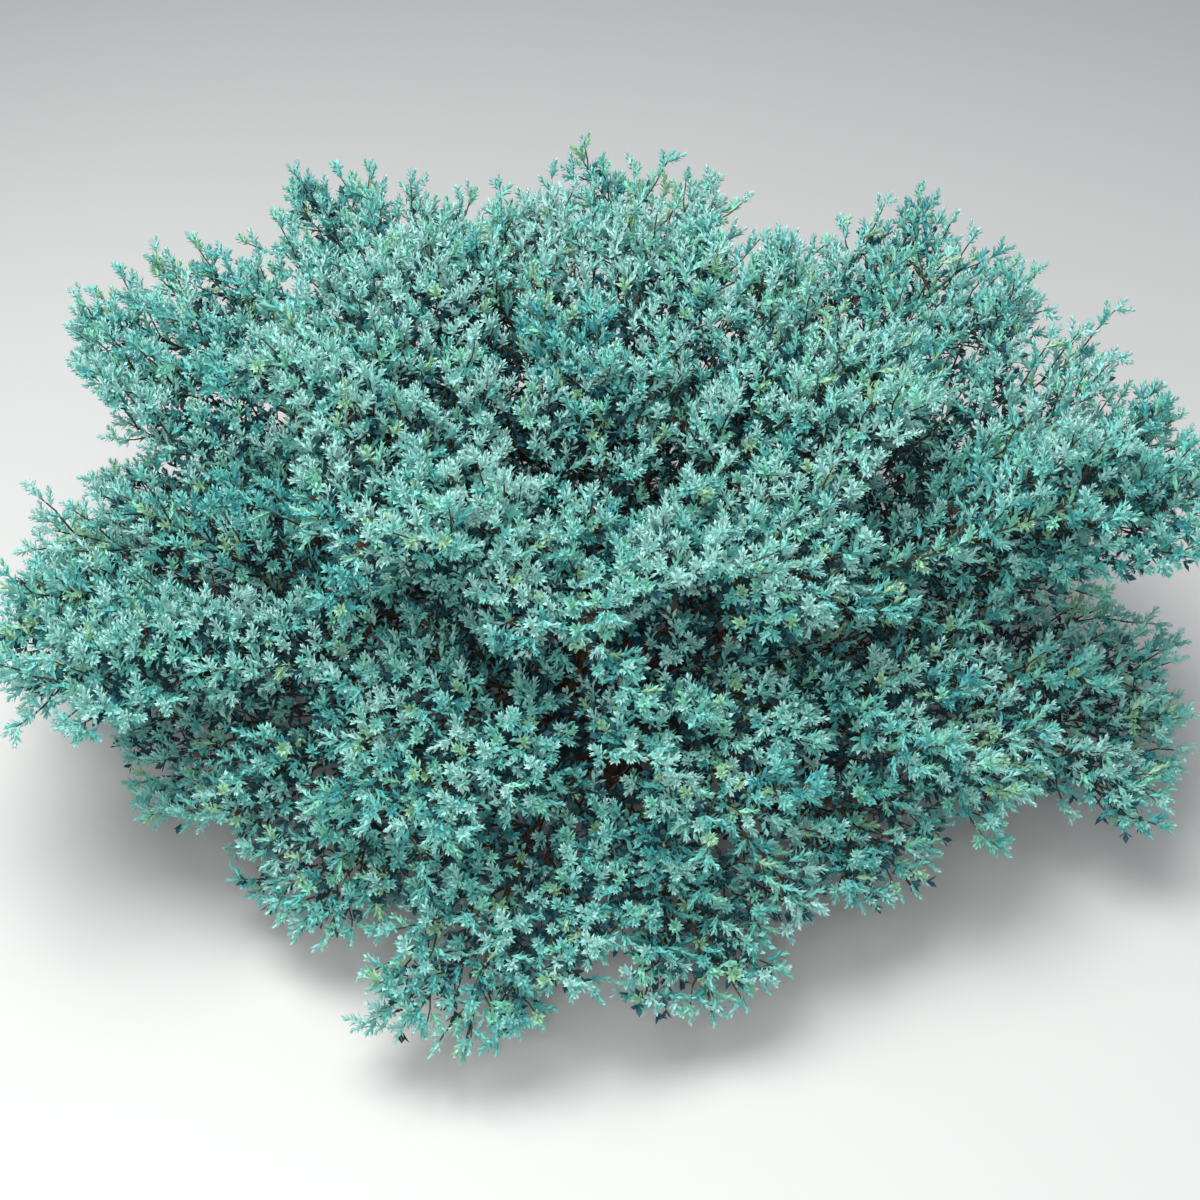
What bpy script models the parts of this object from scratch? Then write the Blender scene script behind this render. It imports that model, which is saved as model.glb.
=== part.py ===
"""Blue star juniper: a low, spreading evergreen shrub, rooted in level ground.

Metres, +Z up. The origin is the centre of the flat cut under the stem. +X is to the right and +Y
away from someone who stands in front of the shrub.

One short stem forks into limbs in three tiers and one limb at the apex. A limb is one smooth curve:
its bare inner part is a bough, and its outer part, 0.3 mm on, is the leader of a mass of foliage.
Side plumes leave the leader by a seeded rule, stand out of a smaller dense core, and stay in the
mass's own space, the points that lie nearer to its leader than to any other.
"""

import math
from collections import namedtuple

import bmesh
import bpy
import numpy as np

SEED = 13  # of all that is left to chance
CLEARANCE = 0.0003  # between a bough and the stem, and between a bough's end and its mass

STEM_HEIGHT = 0.145
STEM_LEAN = 0.008  # how far the top stands to the back of the foot
STEM_SIDES = 16
FLARE_RADIUS = 0.052  # at the ground
FLARE_HEIGHT = 0.045
ROOT_RIDGES = 5
ROOT_RIDGE_DEPTH = 0.12  # share of the radius
ROOT_RIDGE_TURN = 0.6  # radians from +X to the first ridge
# Heights up the stem in metres, with its radius there as a share of the flare's.
STEM_PROFILE = (
    (0.0, 1.0), (0.012, 0.90), (FLARE_HEIGHT, 0.76), (0.090, 0.70), (0.125, 0.68),
    (STEM_HEIGHT - 0.004, 0.54), (STEM_HEIGHT, 0.40),
)

BOUGH_SIDES = 6
BOUGH_RINGS = 5
TIP_HANDLE = 0.40  # how far back from the tip a limb's curve starts to level out, as a share of its reach
LEADER_SAMPLES = 13  # points on a leader or a bough from which distances are measured
NEARLY_UPRIGHT = 1e-3  # sine of the angle to upright below which level is taken to be along X

CORE_SIDES = 8
CORE_STEM_END = 0.03  # share of the leader at which the mass's own round stem ends
# The core's rings: share of the leader, and how much of its room the core takes there.
CORE_PROFILE = ((0.09, 0.42), (0.26, 0.72), (0.46, 0.90), (0.66, 0.92), (0.82, 0.80), (0.93, 0.44))
CORE_END_SWEEP = 0.3  # share of the sweep that the last ring keeps
CORE_VALLEY = 0.78  # radius between the core's needle points as a share of the radius at them
CORE_SWEEP = 0.40  # how far those points lie ahead, in ring spacings
PROBES = 14  # steps in which room is measured
SPACE_MARGIN = 0.004  # a mass stays this far inside its space
LIMB_MARGIN = 0.003  # and this far from every bough
GROUND_CLEARANCE = 0.012
REACH_SLACK = 0.002  # a mass reaches no further from the stem's axis than its limb's tip and this
FREE_RADIUS = 0.40  # but masses may all reach as far as this

SIDE_PLUMES = 9
FORWARD_ANGLE = 44.0  # degrees between a plume and its leader
FORWARD_SPREAD = 7.0  # degrees by which chance turns that angle either way
PLUME_ROLLS = (20.0, 160.0, 84.0, 40.0, 140.0, 100.0)  # degrees round the leader, in turn, from level
ROLL_SPREAD = 10.0
PLUME_TAPER = (1.08, 0.35)  # a plume's share of its tier's length at the leader's root, and the loss
UPPER_SHORTER = 0.22  # how much shorter a plume is that stands straight up
LENGTH_SPREAD = 0.1
FIRST_PLUME = 0.10  # share of the leader before the first plume
LAST_PLUME = 0.88
TIP_PLUME_LENGTH = 0.110
PLUME_GIRTH = 0.25  # widest half-width as a share of the plume's length
WHORLS = ((0.38, 1.0), (0.68, 0.72))  # place along the plume and width
NEEDLE_SWEEP = 0.14  # how far a needle tip lies ahead of its root, as a share of the plume
VALLEY = 0.42  # radius between needles as a share of the radius at their tips
NEEDLES_PER_WHORL = 3
PLUME_ROOT = 0.55  # where a plume is rooted, as a share of the core's way out to its surface
SHORTER = (1.0, 0.82, 0.66, 0.52)  # lengths tried before a plume is skipped
MERGE_DISTANCE = 0.00005  # corners nearer to each other than this are one
SHORT_WAY = 0.01  # share of the leader over which its direction is measured

# A tier's limbs leave the stem's axis at root_height and rise at root_slope degrees for about
# lift metres. bare is the share of the curve that carries no foliage, plume the length of a side
# plume, and core the most that the dense core may reach sideways, up and down from its leader.
Tier = namedtuple("Tier", "name root_height root_slope lift root_radius end_radius bare plume core")
LOW = Tier("low", 0.045, 20.0, 0.150, 0.0088, 0.0050, 0.30, 0.125, (0.300, 0.090, 0.080))
MID = Tier("mid", 0.075, 47.0, 0.150, 0.0088, 0.0048, 0.25, 0.120, (0.300, 0.070, 0.170))
TOP = Tier("top", 0.094, 62.0, 0.200, 0.0072, 0.0042, 0.26, 0.105, (0.240, 0.070, 0.150))
APEX = Tier("apex", 0.110, 84.0, 0.150, 0.0078, 0.0044, 0.28, 0.100, (0.150, 0.130, 0.110))

# A limb points to bearing degrees, seen from above, where 0 is +X and 90 is +Y. Its tip lies at
# reach from the stem and at tip_height, and rises or nods there by tip_slope degrees.
Limb = namedtuple("Limb", "tier bearing reach tip_height tip_slope")
LIMBS = [
    Limb(LOW, 256, 0.475, 0.050, -38),
    Limb(LOW, 283, 0.430, 0.050, -42),
    Limb(LOW, 313, 0.410, 0.085, -32),
    Limb(LOW, 345, 0.565, 0.085, -26),
    Limb(LOW, 22, 0.510, 0.140, -12),
    Limb(LOW, 62, 0.450, 0.105, -18),
    Limb(LOW, 102, 0.440, 0.095, -20),
    Limb(LOW, 140, 0.520, 0.100, -20),
    Limb(LOW, 172, 0.570, 0.130, -18),
    Limb(LOW, 202, 0.470, 0.070, -30),
    Limb(LOW, 230, 0.420, 0.050, -36),
    Limb(MID, 243, 0.370, 0.190, -24),
    Limb(MID, 289, 0.350, 0.190, -26),
    Limb(MID, 330, 0.455, 0.140, -28),
    Limb(MID, 5, 0.570, 0.300, -6),
    Limb(MID, 42, 0.545, 0.360, 10),
    Limb(MID, 84, 0.450, 0.400, 18),
    Limb(MID, 120, 0.560, 0.375, 12),
    Limb(MID, 150, 0.600, 0.330, 6),
    Limb(MID, 189, 0.570, 0.200, -12),
    Limb(TOP, 264, 0.225, 0.315, -18),
    Limb(TOP, 316, 0.260, 0.320, -14),
    Limb(TOP, 10, 0.280, 0.380, 2),
    Limb(TOP, 62, 0.270, 0.410, 12),
    Limb(TOP, 114, 0.290, 0.415, 12),
    Limb(TOP, 165, 0.300, 0.400, 4),
    Limb(TOP, 214, 0.260, 0.350, -10),
    Limb(APEX, 95, 0.060, 0.395, 66),
]


def clear_scene():
    for obj in list(bpy.data.objects):
        bpy.data.objects.remove(obj)


def material(name, colour, roughness):
    made = bpy.data.materials.new(name)
    made.use_nodes = True
    shader = made.node_tree.nodes["Principled BSDF"]
    shader.inputs["Base Color"].default_value = (*colour, 1.0)
    shader.inputs["Roughness"].default_value = roughness
    shader.inputs["Metallic"].default_value = 0.0
    made.diffuse_color = (*colour, 1.0)
    return made


def mesh_object(name, points, faces, look, collection=None):
    """An object from a closed surface's points and faces, with its normals turned outwards."""
    mesh = bpy.data.meshes.new(name)
    mesh.from_pydata([tuple(map(float, p)) for p in points], [], faces)
    form = bmesh.new()
    form.from_mesh(mesh)
    bmesh.ops.recalc_face_normals(form, faces=form.faces)
    form.to_mesh(mesh)
    form.free()
    obj = bpy.data.objects.new(name, mesh)
    mesh.materials.append(look)
    (collection or bpy.context.scene.collection).objects.link(obj)
    return obj


def rings_to_faces(rings, sides):
    """Faces of a tube of rings with flat end caps, for points listed ring by ring."""
    faces = []
    for ring in range(rings - 1):
        for side in range(sides):
            a, b = ring * sides + side, ring * sides + (side + 1) % sides
            faces.append((a, b, b + sides, a + sides))
    faces.append(tuple(reversed(range(sides))))
    faces.append(tuple(range((rings - 1) * sides, rings * sides)))
    return faces


def limb_curve(limb, t):
    """Points of the limb at t from 0, on the stem's axis, to 1, its tip: a cubic Bezier curve in the
    upright plane of its bearing."""
    tier = limb.tier
    t = np.atleast_1d(np.asarray(t, float))[:, None]
    rise, nod = math.radians(tier.root_slope), math.radians(limb.tip_slope)
    foot = np.array([0.0, tier.root_height])
    tip = np.array([limb.reach, limb.tip_height])
    second = foot + tier.lift * np.array([math.cos(rise), math.sin(rise)])
    third = tip - TIP_HANDLE * limb.reach * np.array([math.cos(nod), math.sin(nod)])
    flat = (
        (1 - t) ** 3 * foot
        + 3 * (1 - t) ** 2 * t * second
        + 3 * (1 - t) * t**2 * third
        + t**3 * tip
    )
    way = math.radians(limb.bearing)
    return np.column_stack([flat[:, 0] * math.cos(way), flat[:, 0] * math.sin(way), flat[:, 1]])


def frames_along(points):
    """Tangent, level sideways direction and upward direction at each point of a curve."""
    tangent = np.gradient(points, axis=0)
    tangent /= np.linalg.norm(tangent, axis=1)[:, None]
    across = np.cross(tangent, [0.0, 0.0, 1.0])
    across /= np.linalg.norm(across, axis=1)[:, None]
    return tangent, across, np.cross(across, tangent)


def tube(points, radii, sides):
    """Points and faces of a round tube along a curve, with flat ends square to it."""
    _, across, up = frames_along(points)
    turn = 2 * math.pi * np.arange(sides) / sides
    rings = (
        points[:, None, :]
        + radii[:, None, None]
        * (np.cos(turn)[None, :, None] * across[:, None, :] + np.sin(turn)[None, :, None] * up[:, None, :])
    )
    return rings.reshape(-1, 3), rings_to_faces(len(points), sides)


def stem_surface(grown=0.0):
    """Rings of the stem: ridged and flared at the ground, nearly straight above, with a blunt top."""
    heights, shares = np.array(STEM_PROFILE).T
    ridge = ROOT_RIDGE_DEPTH * np.clip(1 - heights / FLARE_HEIGHT, 0, 1)
    turn = 2 * math.pi * np.arange(STEM_SIDES) / STEM_SIDES
    ridges = 1 + ridge[:, None] * np.cos(ROOT_RIDGES * turn + ROOT_RIDGE_TURN)
    radius = FLARE_RADIUS * shares[:, None] * ridges + grown
    lean = STEM_LEAN * (heights / STEM_HEIGHT) ** 2
    levels = heights.copy()
    levels[0] -= grown
    levels[-1] += grown
    points = np.stack(
        [
            radius * np.cos(turn),
            radius * np.sin(turn) + lean[:, None],
            np.repeat(levels[:, None], STEM_SIDES, axis=1),
        ],
        axis=-1,
    )
    return points.reshape(-1, 3), rings_to_faces(len(heights), STEM_SIDES)


def bough(number, limb, cutter, look):
    """The bare inner part of a limb, cut 0.3 mm clear of the stem that it grows from."""
    t = np.linspace(0.0, limb.tier.bare, BOUGH_RINGS)
    radii = np.linspace(limb.tier.root_radius, limb.tier.end_radius, BOUGH_RINGS)
    points, faces = tube(limb_curve(limb, t), radii, BOUGH_SIDES)
    obj = mesh_object(f"bough_{number}", points, faces, look)
    cut = obj.modifiers.new("stem clearance", "BOOLEAN")
    cut.operation = "DIFFERENCE"
    cut.object = cutter
    return obj


def distance_to_lines(points, lines):
    """Distance from each point to each line of samples: one row for a point, one column for a line."""
    found = np.empty((len(points), len(lines)))
    for column, line in enumerate(lines):
        start, run = line[:-1], np.diff(line, axis=0)
        share = np.einsum("psk,sk->ps", points[:, None, :] - start, run) / (run**2).sum(axis=1)
        nearest = start + np.clip(share, 0, 1)[:, :, None] * run
        found[:, column] = np.linalg.norm(points[:, None, :] - nearest, axis=2).min(axis=1)
    return found


class Space:
    """The room that every mass keeps to: its own side of the others, clear of boughs and ground, and
    no further out than its limb."""

    def __init__(self, limbs):
        self.leaders = [
            limb_curve(limb, np.linspace(limb.tier.bare, 1.0, LEADER_SAMPLES)) for limb in limbs
        ]
        self.boughs = [limb_curve(limb, np.linspace(0.0, limb.tier.bare, LEADER_SAMPLES)) for limb in limbs]
        self.bough_radius = np.array([limb.tier.root_radius for limb in limbs])
        self.reach = np.array([max(limb.reach, FREE_RADIUS) for limb in limbs]) + REACH_SLACK

    def room(self, mass, line, out):
        """How much of each way out from the line the mass's space lets it go, as a share up to 1."""
        shares = np.linspace(0, 1, PROBES + 1)[1:]
        probes = line[:, None, None, :] + shares[None, None, :, None] * out[:, :, None, :]
        held = self.holds(mass, probes.reshape(-1, 3), skip_own_bough=True)
        held = np.logical_and.accumulate(held.reshape(probes.shape[:3]), axis=2)
        return held.sum(axis=2) / PROBES

    def holds(self, mass, points, skip_own_bough=False):
        """For each point, whether it lies in the mass's space."""
        near = distance_to_lines(points, self.leaders)
        own = near[:, mass].copy()
        near[:, mass] = np.inf
        clear = distance_to_lines(points, self.boughs) - self.bough_radius
        if skip_own_bough:
            clear[:, mass] = np.inf
        return (
            (near.min(axis=1) > own + SPACE_MARGIN)
            & (clear.min(axis=1) > LIMB_MARGIN)
            & (points[:, 2] > GROUND_CLEARANCE)
            & (np.hypot(points[:, 0], points[:, 1]) < self.reach[mass])
        )


def core_reach(limb, roll):
    """How far the core may go sideways and upwards at a roll round its leader: an oval that hangs
    lower under the leader than it stands over it."""
    wide, above, below = limb.tier.core
    return wide * np.cos(roll), np.where(np.sin(roll) > 0, above, below) * np.sin(roll)


def core_rings(limb, places):
    """The leader at these places, its frame there, and the most that the core may reach out on each
    side of it, corner by corner."""
    line = limb_curve(limb, limb.tier.bare + (1 - limb.tier.bare) * places)
    tangent, across, up = frames_along(line)
    turn = 2 * math.pi * np.arange(CORE_SIDES) / CORE_SIDES
    sideways, lift = core_reach(limb, turn)
    out = sideways[None, :, None] * across[:, None, :] + lift[None, :, None] * up[:, None, :]
    return line, tangent, across, up, out


def core_surface(mass, limb, space):
    """Points and faces of a mass's dense core: its stem's round end, then rings of forward-swept
    needle points that take up most of the room round the leader and close towards its tip."""
    ring_places, ring_shares = np.array(CORE_PROFILE).T
    places = np.concatenate([[0.0, CORE_STEM_END], ring_places])
    shares = np.concatenate([ring_shares[:1], ring_shares[:1], ring_shares])
    line, tangent, across, up, out = core_rings(limb, places)
    room = space.room(mass, line, out)
    needle = (np.arange(len(line))[:, None] + np.arange(CORE_SIDES)[None, :]) % 2 == 0
    share = shares[:, None] * room * np.where(needle, 1.0, CORE_VALLEY)
    spacing = np.linalg.norm(line[-1] - line[2]) / (len(ring_places) - 1)
    ahead = np.where(needle, CORE_SWEEP * spacing, 0.0)
    ahead[-1] *= CORE_END_SWEEP
    # Where there is no room at all, the core is still as thick as its leader.
    share = np.maximum(share, limb.tier.end_radius / np.linalg.norm(out, axis=2))
    points = line[:, None, :] + ahead[:, :, None] * tangent[:, None, :] + share[:, :, None] * out
    turn = 2 * math.pi * np.arange(CORE_SIDES) / CORE_SIDES
    for ring in range(2):
        points[ring] = line[ring] + limb.tier.end_radius * (
            np.cos(turn)[:, None] * across[ring] + np.sin(turn)[:, None] * up[ring]
        )
    points[0] += CLEARANCE * tangent[0]
    return points.reshape(-1, 3), rings_to_faces(len(line), CORE_SIDES)


def plume_surface(base, way, length, girth, roll):
    """Points and faces of a needled plume: whorls of three forward-swept needle points, each whorl
    turned half a step from the last, on a slim body between two pointed ends."""
    way = way / np.linalg.norm(way)
    across = np.cross(way, [0.0, 0.0, 1.0])
    if np.linalg.norm(across) < NEARLY_UPRIGHT:
        across = np.array([1.0, 0.0, 0.0])
    across /= np.linalg.norm(across)
    up = np.cross(across, way)
    corners = 2 * NEEDLES_PER_WHORL
    points = [base]
    for whorl, (place, width) in enumerate(WHORLS):
        for corner in range(corners):
            needle = (corner + whorl) % 2 == 0
            turn = roll + 2 * math.pi * corner / corners
            radius = girth * width * (1.0 if needle else VALLEY)
            along = length * (place + (NEEDLE_SWEEP if needle else 0.0))
            points.append(base + along * way + radius * (math.cos(turn) * across + math.sin(turn) * up))
    points.append(base + length * way)
    faces = []
    last = len(points) - 1
    for corner in range(corners):
        follows = (corner + 1) % corners
        faces.append((0, 1 + follows, 1 + corner))
        top = 1 + (len(WHORLS) - 1) * corners
        faces.append((top + corner, top + follows, last))
        for whorl in range(len(WHORLS) - 1):
            a, b = 1 + whorl * corners + corner, 1 + whorl * corners + follows
            c, d = a + corners, b + corners
            # The diagonal joins the two needle points, so that each band folds outwards.
            if (corner + whorl) % 2 == 0:
                faces += [(a, b, d), (a, d, c)]
            else:
                faces += [(a, b, c), (b, d, c)]
    return np.array(points), faces


def side_plumes(limb, count, rng):
    """Place along the leader, roll round it, forward lean and length of each side plume, by the
    shrub's rule of growth: plumes leave the leader to the right, to the left and upwards in turn,
    lean forwards, and grow shorter towards its tip."""
    for number, place in enumerate(np.linspace(FIRST_PLUME, LAST_PLUME, count)):
        roll = PLUME_ROLLS[number % len(PLUME_ROLLS)] + rng.uniform(-ROLL_SPREAD, ROLL_SPREAD)
        lean = FORWARD_ANGLE + rng.uniform(-FORWARD_SPREAD, FORWARD_SPREAD)
        most, loss = PLUME_TAPER
        length = limb.tier.plume * (most - loss * place) * rng.uniform(1 - LENGTH_SPREAD, 1 + LENGTH_SPREAD)
        length *= 1 - UPPER_SHORTER * math.sin(math.radians(roll))
        yield place, math.radians(roll), math.radians(lean), length


def plumes_of(mass, limb, space, rng):
    """The plumes that keep to the mass's space: the one at the leader's tip, then those at its sides,
    each rooted well inside the core."""
    tip = limb_curve(limb, [0.999, 1.0])
    way = (tip[1] - tip[0]) / np.linalg.norm(tip[1] - tip[0])
    grown = [(tip[1] - TIP_PLUME_LENGTH * way, way, TIP_PLUME_LENGTH)]
    for place, roll, lean, length in side_plumes(limb, SIDE_PLUMES, rng):
        line, tangent, across, up, _ = core_rings(limb, np.array([place, place + SHORT_WAY]))
        aside = math.cos(roll) * across + math.sin(roll) * up
        sideways, lift = core_reach(limb, roll)
        out = sideways * across + lift * up
        room = space.room(mass, line[:1], out[:1, None, :])[0, 0]
        base = line[0] + PLUME_ROOT * np.interp(place, *np.array(CORE_PROFILE).T) * room * out[0]
        grown.append((base, math.cos(lean) * tangent[0] + math.sin(lean) * aside[0], length))
    for base, way, length in grown:
        roll = rng.uniform(0, 2 * math.pi)
        for shorter in SHORTER:
            size = length * shorter
            points, faces = plume_surface(base, way, size, PLUME_GIRTH * size, roll)
            if space.holds(mass, points).all():
                yield points, faces
                break


def keep_largest_body(form):
    """Deletes all but a mesh's largest connected surface: scraps and the walls of sealed hollows,
    also where they touch that surface along an edge."""
    left, bodies = set(form.faces), []
    while left:
        stack, body = [left.pop()], set()
        while stack:
            face = stack.pop()
            body.add(face)
            for edge in face.edges:
                if len(edge.link_faces) == 2:
                    beside = left.intersection(edge.link_faces)
                    left -= beside
                    stack.extend(beside)
        bodies.append(body)
    bodies.sort(key=len, reverse=True)
    for body in bodies[1:]:
        bmesh.ops.delete(form, geom=list(body), context="FACES")


def clean_up(obj):
    """One closed surface without scraps or sealed hollows, its nearly coinciding corners merged."""
    form = bmesh.new()
    form.from_mesh(obj.data)
    keep_largest_body(form)
    bmesh.ops.remove_doubles(form, verts=form.verts, dist=MERGE_DISTANCE)
    keep_largest_body(form)
    form.to_mesh(obj.data)
    form.free()


def foliage_mass(mass, number, limb, space, look):
    """One mass of foliage: its core and its plumes, joined into a single closed solid."""
    rng = np.random.default_rng([SEED, mass])
    obj = mesh_object(f"foliage_{number}", *core_surface(mass, limb, space), look)
    parts = bpy.data.collections.new(f"plumes_{number}")
    bpy.context.scene.collection.children.link(parts)
    for count, (points, faces) in enumerate(plumes_of(mass, limb, space, rng)):
        mesh_object(f"plume_{number}_{count}", points, faces, look, parts)
    join = obj.modifiers.new("join plumes", "BOOLEAN")
    join.operation = "UNION"
    join.operand_type = "COLLECTION"
    join.collection = parts
    join.solver = "MANIFOLD"
    bpy.context.view_layer.update()
    graph = bpy.context.evaluated_depsgraph_get()
    joined = bpy.data.meshes.new_from_object(obj.evaluated_get(graph))
    obj.modifiers.clear()
    obj.data = joined
    for part in list(parts.objects):
        bpy.data.objects.remove(part)
    bpy.data.collections.remove(parts)
    clean_up(obj)
    return obj


def main():
    clear_scene()
    bark = material("red-brown bark", (0.16, 0.075, 0.042), 0.9)
    needles = material("blue-green needles", (0.135, 0.335, 0.325), 0.75)
    mesh_object("stem", *stem_surface(), bark)
    cutter = mesh_object("stem_clearance", *stem_surface(grown=CLEARANCE), bark)
    cutter.hide_render = True
    cutter.display_type = "WIRE"
    space = Space(LIMBS)
    tally = {}
    for mass, limb in enumerate(LIMBS):
        tally[limb.tier.name] = tally.get(limb.tier.name, 0) + 1
        number = f"{limb.tier.name}_{tally[limb.tier.name]:02d}"
        bough(number, limb, cutter, bark)
        foliage_mass(mass, number, limb, space, needles)


main()
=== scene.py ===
"""Looks of the blue star juniper: bark with relief on the stem and boughs, and on every limb the
twigs, side plumes and needled shoots that grow on from it by the same rule as the solids.

Metres, +Z up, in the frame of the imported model. Each shape is worked out as whole numpy arrays.
"""

import math
from collections import namedtuple

import bpy
import numpy as np
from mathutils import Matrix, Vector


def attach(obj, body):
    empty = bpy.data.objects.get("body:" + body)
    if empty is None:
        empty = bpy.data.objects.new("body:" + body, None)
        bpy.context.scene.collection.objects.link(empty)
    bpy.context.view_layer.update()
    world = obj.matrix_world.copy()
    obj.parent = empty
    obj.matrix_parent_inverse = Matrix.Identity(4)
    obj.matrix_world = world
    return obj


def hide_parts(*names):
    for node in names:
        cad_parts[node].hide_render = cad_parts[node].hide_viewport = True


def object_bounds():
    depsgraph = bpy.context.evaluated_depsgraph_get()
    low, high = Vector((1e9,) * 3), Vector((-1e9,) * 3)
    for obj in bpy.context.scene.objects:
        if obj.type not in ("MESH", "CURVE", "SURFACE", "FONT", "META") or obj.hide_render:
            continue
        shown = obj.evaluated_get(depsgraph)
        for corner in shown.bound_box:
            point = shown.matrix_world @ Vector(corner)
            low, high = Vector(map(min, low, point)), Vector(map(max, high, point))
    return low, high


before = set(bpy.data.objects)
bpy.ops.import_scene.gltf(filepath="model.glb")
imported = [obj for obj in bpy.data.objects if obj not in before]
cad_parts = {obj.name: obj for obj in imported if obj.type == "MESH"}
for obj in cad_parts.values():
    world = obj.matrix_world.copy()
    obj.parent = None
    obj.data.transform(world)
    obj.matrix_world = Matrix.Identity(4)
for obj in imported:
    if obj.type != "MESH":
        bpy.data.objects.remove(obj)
solid_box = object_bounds()

SEED = 23
LATE_SEED = 100  # added to a mass's number in the seed of what is drawn after it has grown
NEARLY_UPRIGHT = 1e-4  # sideways part of a direction below which it counts as upright
STEP = 0.01  # share of a curve between the two points that give its direction

STEM_HEIGHT = 0.145
STEM_LEAN = 0.008
STEM_SIDES, STEM_RINGS = 48, 44
FLARE_RADIUS = 0.052
FLARE_HEIGHT = 0.045
ROOT_RIDGES = 5
ROOT_RIDGE_DEPTH = 0.12
ROOT_RIDGE_TURN = 0.6
STEM_PROFILE = (
    (0.0, 1.0), (0.012, 0.90), (FLARE_HEIGHT, 0.76), (0.090, 0.70), (0.125, 0.68),
    (STEM_HEIGHT - 0.004, 0.54), (STEM_HEIGHT, 0.40),
)
BOUGH_SIDES, BOUGH_RINGS = 12, 26
BOUGH_FROM = 0.04  # share of the limb at which a bough begins, inside the stem
BOUGH_OVERLAP = 0.01  # and the share of it by which the bough runs on into the leader

# Ridges of peeling bark, wide and fine: how many stand round a limb, radians a metre by which they
# wander round it, radians a metre of the wave that breaks them up, how often that wave winds round
# the limb, and their depth as a share of the radius.
BARK_RIDGES = ((4, 14, 70, 0, 0.07), (9, -30, 190, 3, 0.06))
STEM_RELIEF = 0.5  # share of that depth on the stem, which is much thicker
CUT_RELIEF = 0.9  # share of a root ridge's depth that no bark passes at the flat cut
# Mean radius of the bark as a share of the solid's, so that its ridges stay close to the solid.
STEM_BARK, BOUGH_BARK = 0.985, 0.95

TIP_HANDLE = 0.40
LEADER_SAMPLES = 13

# The limbs are those of the solids. plume is how long a side plume is at most, fan how long a strong
# one is against the shares in FAN, rolls the degrees round the leader in which plumes grow, and tone
# how pale the needles of a strong plume are.
Tier = namedtuple(
    "Tier", "name root_height root_slope lift root_radius end_radius bare plume fan rolls tone"
)
LOW = Tier(
    "low", 0.045, 20.0, 0.150, 0.0088, 0.0050, 0.30, 0.180, 1.0, (-30.0, 210.0), 0.62
)
MID = Tier(
    "mid", 0.075, 47.0, 0.150, 0.0088, 0.0048, 0.25, 0.180, 1.0, (-50.0, 230.0), 0.66
)
TOP = Tier(
    "top", 0.094, 62.0, 0.200, 0.0072, 0.0042, 0.26, 0.140, 1.3, (-25.0, 205.0), 0.80
)
APEX = Tier(
    "apex", 0.110, 84.0, 0.150, 0.0078, 0.0044, 0.28, 0.130, 1.0, (-180.0, 180.0), 0.74
)

# spread is how much longer than usual the strong plumes of a limb are that fills a wide gap between
# its neighbours.
Limb = namedtuple("Limb", "tier bearing reach tip_height tip_slope spread", defaults=(1.0,))
LIMBS = [
    Limb(LOW, 256, 0.475, 0.050, -38),
    Limb(LOW, 283, 0.430, 0.050, -42),
    Limb(LOW, 313, 0.410, 0.085, -32),
    Limb(LOW, 345, 0.565, 0.085, -26, 1.4),
    Limb(LOW, 22, 0.510, 0.140, -12, 1.5),
    Limb(LOW, 62, 0.450, 0.105, -18, 1.3),
    Limb(LOW, 102, 0.440, 0.095, -20, 1.3),
    Limb(LOW, 140, 0.520, 0.100, -20, 1.3),
    Limb(LOW, 172, 0.570, 0.130, -18, 1.5),
    Limb(LOW, 202, 0.470, 0.070, -30),
    Limb(LOW, 230, 0.420, 0.050, -36),
    Limb(MID, 243, 0.370, 0.190, -24),
    Limb(MID, 289, 0.350, 0.190, -26),
    Limb(MID, 330, 0.455, 0.140, -28),
    Limb(MID, 5, 0.570, 0.300, -6, 1.3),
    Limb(MID, 42, 0.545, 0.360, 10),
    Limb(MID, 84, 0.450, 0.400, 18),
    Limb(MID, 120, 0.560, 0.375, 12),
    Limb(MID, 150, 0.600, 0.330, 6),
    Limb(MID, 189, 0.570, 0.200, -12, 1.3),
    Limb(TOP, 264, 0.225, 0.315, -18),
    Limb(TOP, 316, 0.260, 0.320, -14),
    Limb(TOP, 10, 0.280, 0.380, 2),
    Limb(TOP, 62, 0.270, 0.410, 12),
    Limb(TOP, 114, 0.290, 0.415, 12),
    Limb(TOP, 165, 0.300, 0.400, 4),
    Limb(TOP, 214, 0.260, 0.350, -10),
    Limb(APEX, 95, 0.060, 0.395, 66),
]

# How a kind of plume leaves its axis: degrees from the axis at the plume's root and at its tip,
# degrees by which each may be off, the least and the most share of the usual length, and degrees by
# which the roll round the axis may be off.
Habit = namedtuple("Habit", "lean lean_slack lengths roll_slack", defaults=(None,))
INNER_HABIT = Habit((60.0, 28.0), 8, (0.80, 1.20))
HANGING_HABIT = Habit((76.0, 52.0), 6, (0.90, 1.10), 12)
FAN_HABIT = Habit((44.0, 12.0), 6, (0.90, 1.10), 8)
SIDE_HABIT = Habit((60.0, 28.0), 6, (0.86, 1.10))
FORK_HABIT = Habit((48.0, 22.0), 5, (0.85, 1.10), 22)

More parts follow.
